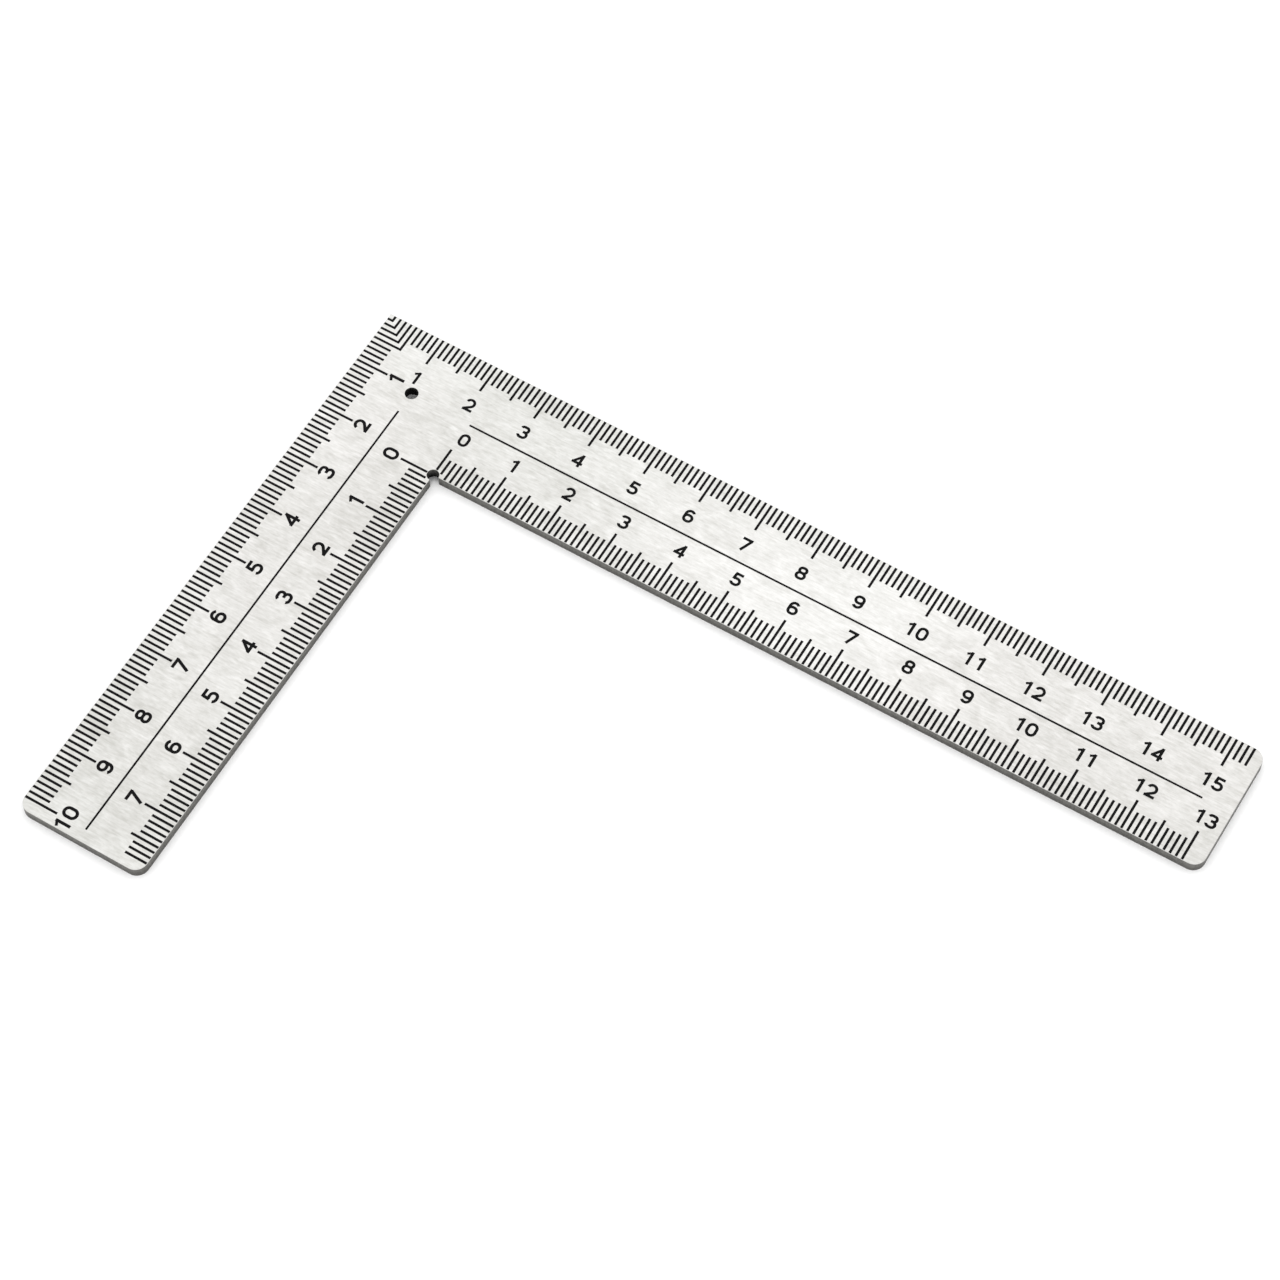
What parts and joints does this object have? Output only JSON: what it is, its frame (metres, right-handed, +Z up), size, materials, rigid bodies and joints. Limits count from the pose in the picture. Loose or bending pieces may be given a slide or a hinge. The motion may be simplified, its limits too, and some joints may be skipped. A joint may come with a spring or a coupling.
{
  "type": "steel square ruler",
  "caption": "Flat L-shaped steel square ruler with black millimetre scales along both edges of both arms, a hanging hole and a relief hole at the inner corner.",
  "frame": {"origin": "outer corner of the square, on the plain face it rests on", "axes": "+X along the long arm from the outer corner, -Y along the short arm, +Z up out of the marked face"},
  "size_m": [0.155, 0.102, 0.002],
  "materials": {
    "brushed_steel": "satin stainless sheet with fine grinding lines along the long arm, and plain cut edges",
    "black_enamel": "matt black enamel in shallow etched marks, level with the steel"
  },
  "bodies": {
    "root": {"blade": "brushed_steel", "corner_graduations": "black_enamel", "long_outer_graduations": "black_enamel", "long_inner_graduations": "black_enamel", "long_divider_line": "black_enamel", "long_outer_numerals": "black_enamel", "long_inner_numerals": "black_enamel", "short_outer_graduations": "black_enamel", "short_inner_graduations": "black_enamel", "short_divider_line": "black_enamel", "short_outer_numerals": "black_enamel", "short_inner_numerals": "black_enamel"}
  },
  "joints": []
}
